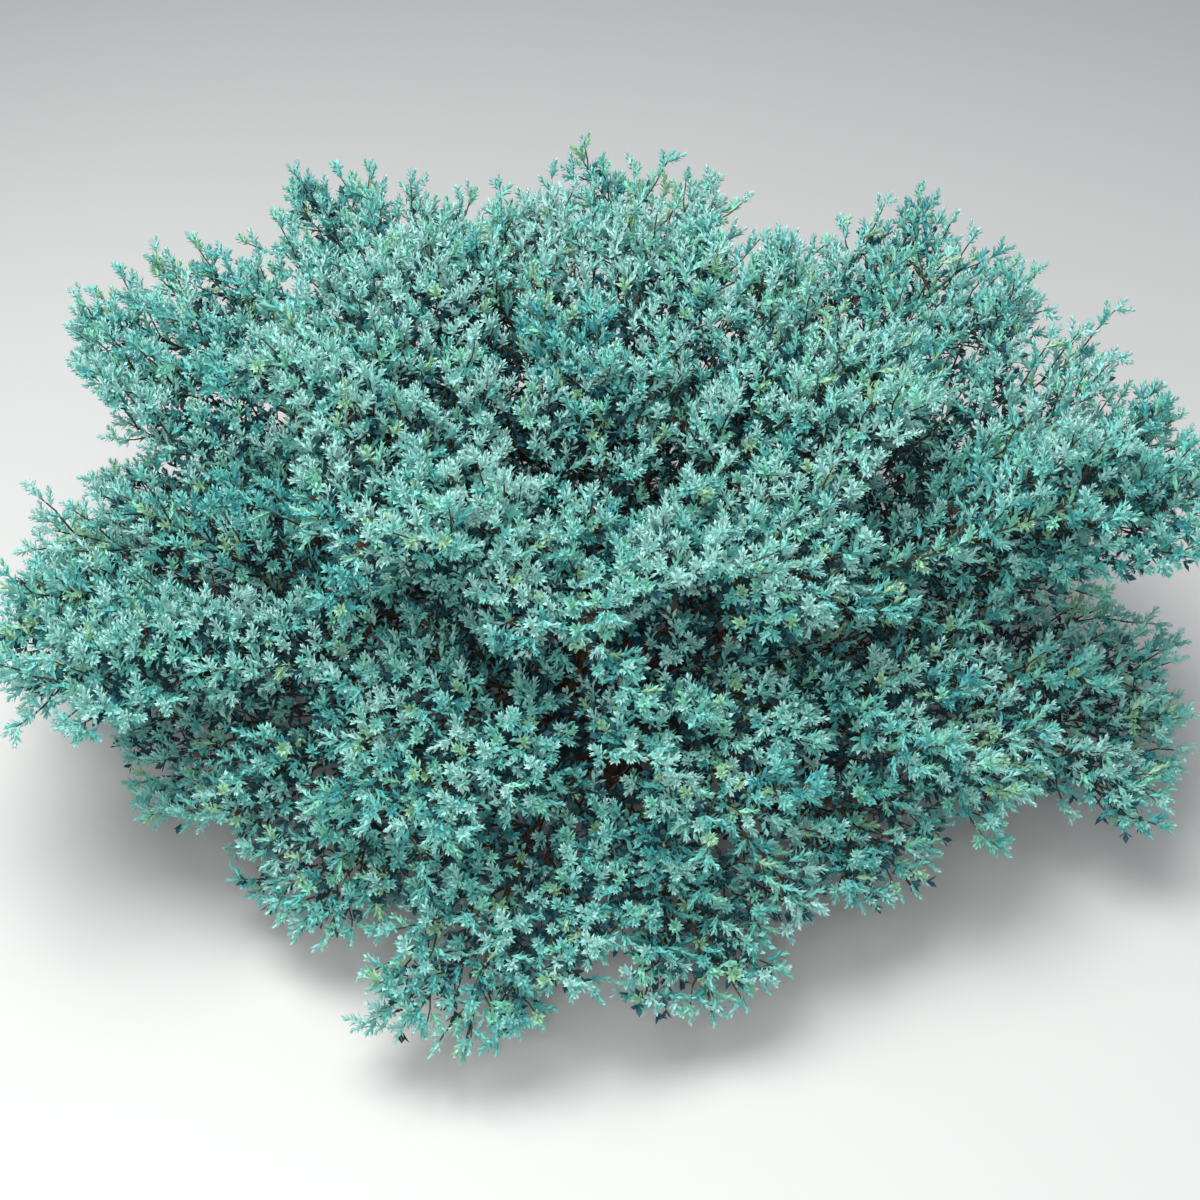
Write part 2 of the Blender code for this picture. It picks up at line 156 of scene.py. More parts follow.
# A leader forks like a fan: share of the leader at which a strong plume leaves it, roll round it,
# and length as a share of the leader's.
FAN = (
    (0.08, 10, 0.74), (0.13, 170, 0.76), (0.26, 178, 0.66), (0.31, 2, 0.64), (0.20, 90, 0.40),
    (0.48, 175, 0.46), (0.54, 5, 0.44), (0.44, 60, 0.30), (0.60, 120, 0.24), (0.66, 178, 0.32),
    (0.71, 2, 0.30), (0.76, 90, 0.17), (0.80, 176, 0.23), (0.85, 4, 0.21), (0.90, 120, 0.13),
    (0.34, -34, 0.34), (0.40, 214, 0.34), (0.62, -34, 0.24), (0.68, 214, 0.24),
)
FAN_TONE_SPREAD = 0.11
# Plumes that hang under a leader and close the gap to the tier or the ground below: share of the
# leader, roll round it, and length as a share of the leader's.
HANGING = ((0.12, -72, 0.40), (0.29, -108, 0.38), (0.46, -76, 0.34), (0.63, -104, 0.27))
HANGING_TONE = (0.42, 0.08)  # how pale they are, and the spread of that
# Weak plumes on a bough's outer part, in the shade: share of the bough, and roll round it.
INNER = (
    (0.46, 150), (0.53, 40), (0.60, 95), (0.67, 172), (0.74, 12), (0.81, 75), (0.88, 135),
    (0.95, 30),
)
INNER_LENGTH = 0.145
# painted shade: the needles of these plumes in the shade get this dark tone
INNER_SHADED_TONE = 0.30

SIDE_PLUMES = 9  # on a leader besides
SIDE_FROM, SIDE_TO = 0.03, 0.97  # share of the leader at the first and the last of them
OUTWARD_CROWDING = 1.35  # how much closer they stand towards the leader's tip
ROLL_STEP, ROLL_SLACK = 0.618, 0.05  # share of the tier's rolls from one to the next, and its slack
SIDE_TAPER = (1.02, 0.40)  # a plume's share of the longest at the leader's root, and the loss
UPPER_SHORTER = 0.42  # how much shorter a plume is that stands straight up
SIDE_TONE = (0.46, 0.10)

# A plume longer than FORK_LENGTH carries smaller ones. A short and a long plume differ in the samples
# of the axis, the share of it at the first shoot, and the share up to which shoots are worn.
FORK_LENGTH = 0.078
SHORT_PLUME, LONG_PLUME = (3, 0.10, 0.0), (6, 0.22, 0.30)
FORK_SPACING = 0.0142
FORK_FROM, FORK_TO = 0.16, 0.93  # share of the plume at the first small one, and the end of them
FORK_ROLLS = (0, 180, 90)  # degrees round the plume, in turn
FORK_SHARE = 0.40  # length of a small plume at its plume's root as a share of that plume
FORK_TAPER = (1.06, 0.54)
FORK_TONE_SPREAD = 0.07
LAST_ORDER = 2  # small plumes of small plumes carry no more
SHORTER = (1.0, 0.86, 0.72, 0.58, 0.46, 0.36)  # lengths tried before a plume is skipped
PROBED = (0.5, 0.75, 1.0)  # shares of a plume that have to keep to the mass's space
SPACE_OVERLAP = 0.012  # how far plumes of neighbouring masses may lace into each other
GROUND_CLEARANCE = 0.014
BOX_MARGIN = 0.004
REACH_SLACK = 0.002
FREE_RADIUS = 0.40

LEADER_TO, LEADER_POINTS = 0.97, 24
LEADER_TIP = (0.96, 0.965)  # share of the leader at its end shoot, and a little further on
TWIG_RADIUS = 0.0009  # of the shortest plume at its root, and what a metre more would add to it
TWIG_RADIUS_GAIN = 0.005
TWIG_TIP_RADIUS, LEADER_TIP_RADIUS = 0.0007, 0.0012
TWIG_SIDES, LEADER_SIDES = 3, 5

SHOOT_LENGTH = 0.012  # without the needles that stand out past its end
NEEDLE_REACH = 0.021  # from the base of a shoot of size 1 to its furthest needle tips
LOWEST_NEEDLE = 0.006  # a shoot that would reach lower is left out
SHOOT_SPACING = 0.0102  # along a plume
LAST_SHOOT, END_SHOOT = 0.94, 0.95  # share of a plume at its last side shoot and at its end shoot
LEADER_SHOOTS = (0.03, 0.96)  # share of the leader at its first side shoot, and the end of them
LEADER_SHOOT_SPACING = 0.0085
TIP_CROWDING = 1.3  # how much closer shoots stand towards a plume's tip
SHOOT_LEAN = (56.0, 42.0)  # degrees from the plume's axis at its root and at its tip
SHOOT_ROLLS = (4.0, 176.0, 66.0, 116.0, -30.0, 210.0, 90.0)  # degrees round the plume, in turn
SHOOT_ROLL_SLACK, SHOOT_LEAN_SLACK = 10, 8
SHOOT_SIZES = (0.86, 1.12)
TOWARDS_LIGHT = 0.10  # upward part added to a shoot's direction
END_ROLL = 6.0  # radians that an end shoot is turned at most
SPUR_FROM, SPUR_SPACING = 0.35, 0.025  # shares of the bough at the spurs with worn shoots on it
SPUR_SIZE = 1.5

TONE_GAIN = 0.56  # how much paler the last shoot of an axis is than the first
# painted light: shoots on a plume's upper side are paler, as if lit from above
TONE_OF_ROLL = 0.10  # how much paler one on the upper side is than one at the side
TONE_SPREAD = 0.08
END_PALER = 0.2  # how much paler an end shoot is than the plume
LEADER_TONES, LEADER_TIP_TONE, SPUR_TONE = (0.5, 0.7), 0.8, 0.1
LEADER_WORN, LEADER_GREEN = 0.4, 0.35  # share of a leader with worn shoots, and chance of green
GREEN_CHANCE = (0.12, 0.05, 0.02)  # on a plume, on its small plumes, and on theirs
FRESH_TO_SAGE = 3  # shoots that have less bloom, for one of them that is sage
DEAD_CHANCE = 0.07  # that a worn shoot is brown

NEEDLE_LENGTH = 0.0076
NEEDLE_WIDTH = 0.0023
NEEDLE_WIDEST = 0.56  # share of its length at which a needle is widest
NEEDLE_FOLD = 0.30  # depth of the fold along its middle as a share of its width
NEEDLE_CURL = 0.10  # how far its tip curls inwards as a share of its length
SPINDLE_ROOT, SPINDLE_WIDEST, SPINDLE_END = -0.001, 0.45, 0.95
WHORLS_FROM, WHORLS_OVER = 0.12, 0.70  # share of a shoot at its first whorl, and on to the last
WHORL_TURN = 0.35  # radians that each whorl is turned on past half a step
CLOSING = 1.3  # over 1: needles stay spread for longer before they close up to the tip
OUTER_PART = 0.55  # share of the whorls after which the pale outer part begins

# Forms of a shoot: length, whorls of needles, degrees by which the first and the last whorl stand
# out, length and width of the needles against the usual, and the axis's radius, or 0 without one.
Form = namedtuple("Form", "length whorls spread longer wider thick")
FORMS = (
    Form(0.0155, 5, (70, 28), 1.00, 1.00, 0.0026),
    Form(0.0140, 5, (66, 32), 1.00, 1.00, 0.0026),
    Form(0.0172, 6, (66, 24), 1.00, 1.00, 0.0024),
    Form(0.0160, 3, (70, 28), 1.20, 1.50, 0.0),
    Form(0.0200, 2, (80, 42), 1.60, 1.95, 0.0),
)
LIT_FORMS = 3  # as many forms, the first ones, are for shoots in the light
HALF_LIT_FORM, SHADED_FORM = 3, 4
LIT, HALF_LIT, SHADED = 0, 1, 2

# Light reaches the crown from these heights in degrees, each with so many bearings. Shoots are
# counted from the outside in, in columns of light this wide.
LIGHT_FROM_SIDE = ((6, 14), (18, 14))
LIGHT_FROM_ABOVE = ((32, 14), (55, 10), (90, 1))
LIGHT_COLUMN = 0.015
COLUMNS_APART = 1000  # more than the columns across the crown, so that each has its own number
WELL_LIT = 2  # sides from which a shoot in the light is the first that light from above reaches
LIT_BESIDE = 2  # sides from which a half-lit shoot is the first that light from beside reaches
DEEP = 1  # shoots with more than this many others between them and any light have died off
THINNED = 4  # and of those with just as many, one in so many

# Juniper needles are stiff and waxy. The bloom on their inner face gives the eye a pale, matt blue,
# and older needles show more of the green under it.
NEEDLE_TINTS = {
    "silver": "#96c4bd",
    "pale": "#7dbcb4",
    "steel": "#69b3ab",
    "teal": "#56a6a1",
    "deep": "#439193",
    "fresh": "#7cbea8",
    "sage": "#8dba98",
    # painted shade: this near-black tint goes to the shoots that stand in the shade, and to worn ones
    # out of full light
    "old": "#1b454e",
    "dead": "#3a2a21",
}
TINT_UNDER = ((0.30, "deep"), (0.48, "teal"), (0.66, "steel"), (0.84, "pale"))  # tones over: silver
LOWER_DARKER = 0.18  # how much darker the lower needles of a shoot are than its outer ones

FLOOR_HALF = 9.0
SURROUND_COLOUR, SURROUND_STRENGTH = (0.80, 0.88, 1.0, 1.0), 0.37
# Soft lights: name, place, diameter and watts. They face the middle of the shrub at this height.
SOFTBOXES = (
    ("overhead softbox", (-0.5, -0.2, 2.6), 2.0, 108.0),
    ("front softbox", (-0.3, -2.6, 1.9), 1.8, 52.0),
)
LIGHTS_FACE = 0.2

CAMERA_RISE = 38.0
CAMERA_DISTANCE = 2.02
CAMERA_FACES = 0.18  # height over the stem's foot
FIELD_OF_VIEW = 32.0
SENSOR_WIDTH = 36.0  # in millimetres, as is the focal length


def linear(hex_colour):
    """An sRGB hex colour as linear red, green and blue: each channel c becomes c / 12.92 where it is
    dark and ((c + 0.055) / 1.055) to the power 2.4 elsewhere."""
    parts = [int(hex_colour[i : i + 2], 16) / 255 for i in (1, 3, 5)]
    return tuple(c / 12.92 if c <= 0.04045 else ((c + 0.055) / 1.055) ** 2.4 for c in parts)


def new_material(name, colour, roughness, **sockets):
    """A Principled material with a plain base colour and the given values on its sockets."""
    made = bpy.data.materials.new(name)
    made.use_nodes = True
    shader = made.node_tree.nodes["Principled BSDF"]
    shader.inputs["Base Color"].default_value = (*linear(colour), 1.0)
    shader.inputs["Roughness"].default_value = roughness
    for socket, value in sockets.items():
        shader.inputs[socket.replace("_", " ")].default_value = value
    made.diffuse_color = (*linear(colour), 1.0)
    return made


def add_node(tree, kind, settings=None, links=None):
    """A shader node with its settings, its input values and the sockets that feed it."""
    node = tree.nodes.new(kind)
    for name, value in (settings or {}).items():
        if name in node.inputs:
            node.inputs[name].default_value = value
        else:
            setattr(node, name, value)
    for name, source in (links or {}).items():
        tree.links.new(source, node.inputs[name])
    return node


def bark_material():
    """Juniper bark: thin red-brown strips that peel along the limb and weather grey at their edges.
    It gives the eye a dull, streaked surface with no shine."""
    made = new_material("peeling juniper bark", "#5b3c2a", 0.92, Specular_IOR_Level=0.2)
    tree = made.node_tree
    shader = tree.nodes["Principled BSDF"]
    place = add_node(tree, "ShaderNodeTexCoord").outputs["Object"]
    # Strips are about 3 mm wide and 20 mm long, so the pattern is drawn out along Z.
    drawn = add_node(tree, "ShaderNodeMapping", {"Scale": (330.0, 330.0, 48.0)}, {"Vector": place})
    strips = add_node(
        tree, "ShaderNodeTexNoise", {"Scale": 1.0, "Detail": 4.0},
        {"Vector": drawn.outputs["Vector"]},
    )
    tone = add_node(tree, "ShaderNodeValToRGB", None, {"Fac": strips.outputs["Fac"]})
    ramp = tone.color_ramp
    ramp.elements[0].position, ramp.elements[0].color = 0.34, (*linear("#34211a"), 1)
    ramp.elements[1].position, ramp.elements[1].color = 0.70, (*linear("#8d6f58"), 1)
    middle = ramp.elements.new(0.52)
    middle.color = (*linear("#6a4430"), 1)
    tree.links.new(tone.outputs["Color"], shader.inputs["Base Color"])
    relief = add_node(
        tree, "ShaderNodeBump", {"Strength": 0.7, "Distance": 0.0015},
        {"Height": strips.outputs["Fac"]},
    )
    tree.links.new(relief.outputs["Normal"], shader.inputs["Normal"])
    return made


def foliage_materials():
    """The needles' tints, and the twigs' bark, which is thin, smooth and dull in its first years."""
    made = {
        tint: new_material(f"waxy needles {tint}", colour, 0.72, Specular_IOR_Level=0.25)
        for tint, colour in NEEDLE_TINTS.items()
    }
    made["twigs"] = new_material("smooth young twig bark", "#3b3829", 0.8, Specular_IOR_Level=0.3)
    return made


def mesh_piece(name, points, triangles, material, smooth=False):
    """One object from arrays of points and triangles."""
    mesh = bpy.data.meshes.new(name)
    mesh.vertices.add(len(points))
    mesh.vertices.foreach_set("co", np.ascontiguousarray(points, dtype=np.float32).ravel())
    corners = np.ascontiguousarray(triangles, dtype=np.int32).ravel()
    mesh.loops.add(len(corners))
    mesh.loops.foreach_set("vertex_index", corners)
    mesh.polygons.add(len(triangles))
    mesh.polygons.foreach_set("loop_start", np.arange(0, len(corners), 3, dtype=np.int32))
    mesh.polygons.foreach_set("use_smooth", np.full(len(triangles), smooth))
    mesh.update(calc_edges=True)
    mesh.materials.append(material)
    piece = bpy.data.objects.new(name, mesh)
    bpy.context.scene.collection.objects.link(piece)
    return piece


def unit(vector):
    """The direction of a vector, with length 1."""
    return vector / np.linalg.norm(vector)


def limb_curve(limb, t):
    """Points of the limb at t: a cubic Bezier curve in the upright plane of its bearing, from the
    stem's axis to the limb's tip."""
    tier = limb.tier
    t = np.atleast_1d(np.asarray(t, float))[:, None]
    rise, nod = math.radians(tier.root_slope), math.radians(limb.tip_slope)
    foot = np.array([0.0, tier.root_height])
    tip = np.array([limb.reach, limb.tip_height])
    second = foot + tier.lift * np.array([math.cos(rise), math.sin(rise)])
    third = tip - TIP_HANDLE * limb.reach * np.array([math.cos(nod), math.sin(nod)])
    flat = (
        (1 - t) ** 3 * foot
        + 3 * (1 - t) ** 2 * t * second
        + 3 * (1 - t) * t**2 * third
        + t**3 * tip
    )
    way = math.radians(limb.bearing)
    return np.column_stack([flat[:, 0] * math.cos(way), flat[:, 0] * math.sin(way), flat[:, 1]])


def leader_curve(limb, places):
    """Points of the limb's outer part at places from 0, where its bough ends, to 1."""
    return limb_curve(limb, limb.tier.bare + (1 - limb.tier.bare) * np.asarray(places, float))


def frames_along(points):
    """Tangent, level sideways direction and upward direction at each point of a curve."""
    tangent = np.gradient(points, axis=0)
    tangent /= np.linalg.norm(tangent, axis=1)[:, None]
    across = np.cross(tangent, [0.0, 0.0, 1.0])
    across /= np.linalg.norm(across, axis=1)[:, None]
    return tangent, across, np.cross(across, tangent)


def frames_for(ways, rolls):
    """For many unit directions, two directions square to each, turned round it by a roll."""
    across = np.cross(ways, [0.0, 0.0, 1.0])
    across[np.linalg.norm(across, axis=1) < NEARLY_UPRIGHT] = [1.0, 0.0, 0.0]
    across /= np.linalg.norm(across, axis=1)[:, None]
    up = np.cross(across, ways)
    c, s = np.cos(rolls)[:, None], np.sin(rolls)[:, None]
    return c * across + s * up, c * up - s * across


def distance_to_lines(points, lines):
    """Distance from each point to each line of samples: one row for a point, one column for a line."""
    found = np.empty((len(points), len(lines)))
    for column, line in enumerate(lines):
        start, run = line[:-1], np.diff(line, axis=0)
        share = np.einsum("psk,sk->ps", points[:, None, :] - start, run) / (run**2).sum(axis=1)
        nearest = start + np.clip(share, 0, 1)[:, :, None] * run
        found[:, column] = np.linalg.norm(points[:, None, :] - nearest, axis=2).min(axis=1)
    return found


LEADERS = [leader_curve(limb, np.linspace(0, 1, LEADER_SAMPLES)) for limb in LIMBS]


def in_space(mass, points):
    """For each point, whether it lies in the mass's space: nearer to its leader than to any other,
    but for the share in which neighbours lace into each other, no further out than its limb, and
    above the ground."""
    near = distance_to_lines(points, LEADERS)
    own = near[:, mass].copy()
    near[:, mass] = np.inf
    reach = max(LIMBS[mass].reach, FREE_RADIUS) + REACH_SLACK
    return (
        (near.min(axis=1) > own - SPACE_OVERLAP)
        & (points[:, 2] > GROUND_CLEARANCE)
        & (np.hypot(points[:, 0], points[:, 1]) < reach)
    )


def inside_box(points, margin):
    """For each point, whether it lies inside the box of the solids, this far clear of its sides and
    its top."""
    low, high = (np.array(corner) for corner in solid_box)
    return (points[:, :2] > low[:2] + margin).all(axis=1) & (points < high - margin).all(axis=1)


# Every field is an array with one row for a shoot: where it starts, its direction, how far it is
# turned round that, its size, 1 where it is worn and, once the light is counted, also where it stands
# in the shade (painted shade), how pale it is, and its chance of less bloom.
Shoots = namedtuple("Shoots", "base way roll size age tone green")


def pick(shoots, chosen):
    """The chosen ones of many shoots."""
    return Shoots(*(column[chosen] for column in shoots))


def plume_axis(base, start_way, end_way, length, places):
    """Points and directions along a plume: it sets off along start_way and turns evenly until it
    runs along end_way, so its point at u is base + length (u start + u u (end - start) / 2)."""
    u = np.asarray(places, float)[:, None]
    points = base + length * (u * start_way + 0.5 * u**2 * (end_way - start_way))
    ways = start_way + u * (end_way - start_way)
    return points, ways / np.linalg.norm(ways, axis=1)[:, None]


def ways_out(tangent, aside, habit, rng):
    """The directions in which a plume of this habit sets off and ends: it leans from the tangent of
    its axis towards aside."""
    slack = habit.lean_slack
    angles = [math.radians(lean + rng.uniform(-slack, slack)) for lean in habit.lean]
    return [math.cos(angle) * tangent + math.sin(angle) * aside for angle in angles]


def ways_off_limb(spot, roll, habit, rng):
    """The same for a plume that leaves a limb at the first of two points on it, at a roll round the
    limb in radians."""
    tangent, across, up = (row[0] for row in frames_along(spot))
    return ways_out(tangent, math.cos(roll) * across + math.sin(roll) * up, habit, rng)


def shoots_along(points, ways, places, rng, tone, worn_until, green):
    """Shoots at points of an axis, each turned on round it and leaning forwards. The size at a place
    is 0.95 + 0.32 sin(pi (0.10 + 0.70 place)), most just past the middle, with some slack. Those
    nearer the root than worn_until have lost their colour, and green is the chance that one has less
    bloom than the rest."""
    count = len(points)
    roll_slack, lean_slack = SHOOT_ROLL_SLACK, SHOOT_LEAN_SLACK
    rolls = np.radians(np.resize(SHOOT_ROLLS, count) + rng.uniform(-roll_slack, roll_slack, count))
    aside, _ = frames_for(ways, rolls)
    root_lean, tip_lean = SHOOT_LEAN
    lean = root_lean + (tip_lean - root_lean) * places + rng.uniform(-lean_slack, lean_slack, count)
    lean = np.radians(lean)[:, None]
    way = np.cos(lean) * ways + np.sin(lean) * aside
    way[:, 2] += TOWARDS_LIGHT
    way /= np.linalg.norm(way, axis=1)[:, None]
    sizes = 0.95 + 0.32 * np.sin(math.pi * (0.10 + 0.70 * places))
    sizes = sizes * rng.uniform(*SHOOT_SIZES, count)
    worn = np.where(places < worn_until, 1.0, 0.0)
    # painted light from above: paler on the plume's upper side
    tones = tone + TONE_GAIN * (places - 0.5) + TONE_OF_ROLL * np.sin(rolls)
    tones = tones + rng.normal(0, TONE_SPREAD, count)
    turns = rng.uniform(0, 2 * math.pi, count)
    return Shoots(points, way, turns, sizes, worn, tones, np.full(count, green))


def end_shoot(tip, way, rng, tone):
    """The shoot that ends an axis."""
    one = np.ones(1)
    turn = rng.uniform(0, END_ROLL, 1)
    return Shoots(tip[None], way[None], turn, one, 0 * one, tone * one, 0 * one)


def plume(mass, base, start_way, end_way, length, tone, rng, twigs, shoots, order=0):
    """Grows one plume into the lists: its axis, its shoots and, on a long one, smaller plumes to
    both sides of it. It is shortened until it keeps to its mass's space, or else left out."""
    for shorter in SHORTER:
        size = length * shorter
        probe, _ = plume_axis(base, start_way, end_way, size + SHOOT_LENGTH, PROBED)
        if in_space(mass, probe).all() and inside_box(probe, BOX_MARGIN).all():
            break
    else:
        return
    forks = size >= FORK_LENGTH
    samples, first, worn_until = LONG_PLUME if forks else SHORT_PLUME
    axis, _ = plume_axis(base, start_way, end_way, size, np.linspace(0, 1, samples))
    thick = TWIG_RADIUS + TWIG_RADIUS_GAIN * size
    twigs.append((axis, np.linspace(thick, TWIG_TIP_RADIUS, len(axis))))
    leafy = LAST_SHOOT - first
    even = np.linspace(0, 1, max(3, round(size * leafy / SHOOT_SPACING)))
    places = first + leafy * (1 - (1 - even) ** TIP_CROWDING)
    points, ways = plume_axis(base, start_way, end_way, size, places)
    green = GREEN_CHANCE[order]
    shoots.append(shoots_along(points, ways, places, rng, tone, worn_until, green))
    tip, way = plume_axis(base, start_way, end_way, size, [END_SHOOT])
    shoots.append(end_shoot(tip[0], way[0], rng, tone + END_PALER))
    if not forks or order == LAST_ORDER:
        return
    most, loss = FORK_TAPER
    slack = FORK_HABIT.roll_slack
    for number, place in enumerate(np.arange(FORK_FROM, FORK_TO, FORK_SPACING / size)):
        spot, ways = plume_axis(base, start_way, end_way, size, [place])
        roll = math.radians(FORK_ROLLS[number % len(FORK_ROLLS)] + rng.uniform(-slack, slack))
        aside, _ = frames_for(ways, np.array([roll]))
        start, end = ways_out(ways[0], aside[0], FORK_HABIT, rng)
        small = size * FORK_SHARE * (most - loss * place) * rng.uniform(*FORK_HABIT.lengths)
        small_tone = tone + rng.normal(0.0, FORK_TONE_SPREAD)
        plume(mass, spot[0], start, end, small, small_tone, rng, twigs, shoots, order + 1)


def grow(mass, limb, rng):
    """A mass's twigs, as lists of axis points and radii, and its shoots: those on the leader and its
    bough, and those on the plumes, which leave both on all sides and lean forwards."""
    shoots, twigs = [], []
    tier = limb.tier
    line = leader_curve(limb, np.linspace(0, LEADER_TO, LEADER_POINTS))
    twigs.append((line, np.linspace(tier.end_radius, LEADER_TIP_RADIUS, len(line))))
    length = np.linalg.norm(np.diff(line, axis=0), axis=1).sum()

    places = np.arange(*LEADER_SHOOTS, LEADER_SHOOT_SPACING / length)
    at = leader_curve(limb, places)
    tone = rng.uniform(*LEADER_TONES)
    ways = frames_along(at)[0]
    shoots.append(shoots_along(at, ways, places, rng, tone, LEADER_WORN, LEADER_GREEN))
    places = np.arange(SPUR_FROM, 1.0, SPUR_SPACING)
    at = limb_curve(limb, tier.bare * places)
    spurs = shoots_along(at, frames_along(at)[0], places, rng, SPUR_TONE, 1.0, 0.0)
    shoots.append(spurs._replace(size=SPUR_SIZE * spurs.size))
    tip = leader_curve(limb, LEADER_TIP)
    shoots.append(end_shoot(tip[0], unit(tip[1] - tip[0]), rng, LEADER_TIP_TONE))

    for place, roll in INNER:
        spot = limb_curve(limb, [tier.bare * place, tier.bare * place + STEP])
        start, end = ways_off_limb(spot, math.radians(roll), INNER_HABIT, rng)
        reach = INNER_LENGTH * rng.uniform(*INNER_HABIT.lengths)
        plume(mass, spot[0], start, end, reach, INNER_SHADED_TONE, rng, twigs, shoots, 1)
    for place, roll, share in HANGING:
        spot = leader_curve(limb, [place, place + STEP])
        slack = HANGING_HABIT.roll_slack
        roll = math.radians(roll + rng.uniform(-slack, slack))
        start, end = ways_off_limb(spot, roll, HANGING_HABIT, rng)
        reach = share * length * rng.uniform(*HANGING_HABIT.lengths)
        tone = rng.normal(*HANGING_TONE)
        plume(mass, spot[0], start, end, reach, tone, rng, twigs, shoots, 1)
    for place, roll, share in FAN:
        spot = leader_curve(limb, [place, place + STEP])
        slack = FAN_HABIT.roll_slack
        roll = math.radians(roll + rng.uniform(-slack, slack))
        start, end = ways_off_limb(spot, roll, FAN_HABIT, rng)
        reach = limb.spread * tier.fan * share * length * rng.uniform(*FAN_HABIT.lengths)
        tone = rng.normal(tier.tone, FAN_TONE_SPREAD)
        plume(mass, spot[0], start, end, reach, tone, rng, twigs, shoots)
    low, high = (math.radians(side) for side in tier.rolls)
    most, loss = SIDE_TAPER
    for number in range(SIDE_PLUMES):
        share = 1 - (1 - number / (SIDE_PLUMES - 1)) ** OUTWARD_CROWDING
        place = SIDE_FROM + (SIDE_TO - SIDE_FROM) * share
        spot = leader_curve(limb, [place, place + STEP])
        turned = (number * ROLL_STEP + rng.uniform(-ROLL_SLACK, ROLL_SLACK)) % 1.0
        roll = low + (high - low) * turned
        start, end = ways_off_limb(spot, roll, SIDE_HABIT, rng)
        reach = tier.plume * (most - loss * place) * rng.uniform(*SIDE_HABIT.lengths)
        reach *= 1 - UPPER_SHORTER * max(0.0, math.sin(roll))
        tone = rng.normal(*SIDE_TONE)
        plume(mass, spot[0], start, end, reach, tone, rng, twigs, shoots)
    return twigs, Shoots(*(np.concatenate(columns) for columns in zip(*shoots)))


def tube_surface(points, radii, sides, relief=0.0):
    """Points and triangles of a closed tube: rings at the radii round the path, each end closed to
    its middle. relief gives every ring point's radius a share more or less."""
    _, across, up = frames_along(points)
    turn = 2 * math.pi * np.arange(sides) / sides
    spread = radii[:, None] * (1 + relief) * np.ones((len(points), sides))
    rings = points[:, None, :] + spread[:, :, None] * (
        np.cos(turn)[None, :, None] * across[:, None, :]
        + np.sin(turn)[None, :, None] * up[:, None, :]
    )
    ring, side = np.meshgrid(np.arange(len(points) - 1), np.arange(sides), indexing="ij")
    a = (ring * sides + side).ravel()
    b = (ring * sides + (side + 1) % sides).ravel()
    c, d = a + sides, b + sides
    foot, head = len(points) * sides, len(points) * sides + 1
    side = np.arange(sides)
    follows = (side + 1) % sides
    last = (len(points) - 1) * sides
    triangles = np.concatenate([
        np.column_stack([a, b, d]),
        np.column_stack([a, d, c]),
        np.column_stack([np.full(sides, foot), follows, side]),
        np.column_stack([np.full(sides, head), last + side, last + follows]),
    ])
    return np.concatenate([rings.reshape(-1, 3), points[:1], points[-1:]]), triangles


def outward(points, triangles):
    """The triangles, turned over if the closed surface's signed volume is negative."""
    a, b, c = (points[triangles[:, i]] for i in range(3))
    volume = np.einsum("ij,ij->i", a, np.cross(b, c)).sum()
    return triangles if volume > 0 else triangles[:, ::-1]


def gather(surfaces):
    """Many surfaces as one array of points and one of triangles."""
    points, triangles, count = [], [], 0
    for some_points, some_triangles in surfaces:
        points.append(some_points)
        triangles.append(some_triangles + count)
        count += len(some_points)
    return np.concatenate(points), np.concatenate(triangles)


def bark_relief(points, sides, rng):
    """Relief of peeling bark on a tube: for each kind of ridge, a wave round the limb that wanders
    as it goes along, times a wave along the limb, times the depth."""
    steps = np.linalg.norm(np.diff(points, axis=0), axis=1)
    along = np.concatenate([[0], np.cumsum(steps)])[:, None]
    turn = 2 * math.pi * np.arange(sides)[None, :] / sides
    phases = rng.uniform(0, 2 * math.pi, (len(BARK_RIDGES), 2))
    relief = 0.0
    for (count, wander, broken, winding, depth), (first, second) in zip(BARK_RIDGES, phases):
        ridges = np.sin(count * turn + wander * along + first)
        relief = relief + depth * (ridges * np.sin(broken * along + winding * turn + second))
    return relief


def stem_surface(rng):
    """The stem: level rings up its profile, ridged and flared at the ground, with the bark's relief,
    closed by a flat cut below and a blunt top."""
    heights = np.linspace(0, STEM_HEIGHT, STEM_RINGS)
    known, shares = np.array(STEM_PROFILE).T
    radii = FLARE_RADIUS * np.interp(heights, known, shares) * STEM_BARK
    lean = STEM_LEAN * (heights / STEM_HEIGHT) ** 2
    points = np.column_stack([np.zeros(STEM_RINGS), lean, heights])
    turn = 2 * math.pi * np.arange(STEM_SIDES)[None, :] / STEM_SIDES
    ridge = ROOT_RIDGE_DEPTH * np.clip(1 - heights / FLARE_HEIGHT, 0, 1)[:, None]
    relief = ridge * np.cos(ROOT_RIDGES * turn + ROOT_RIDGE_TURN)
    relief = relief + STEM_RELIEF * bark_relief(points, STEM_SIDES, rng)
    relief[0] = np.minimum(relief[0], ridge[0] * CUT_RELIEF)
    spread = radii[:, None] * (1 + relief)
    rings = np.stack([
        points[:, 0, None] + spread * np.cos(turn),
        points[:, 1, None] + spread * np.sin(turn),
        np.repeat(points[:, 2, None], STEM_SIDES, axis=1),
    ], axis=-1)
    _, triangles = tube_surface(points, radii, STEM_SIDES)
    return np.concatenate([rings.reshape(-1, 3), points[:1], points[-1:]]), triangles


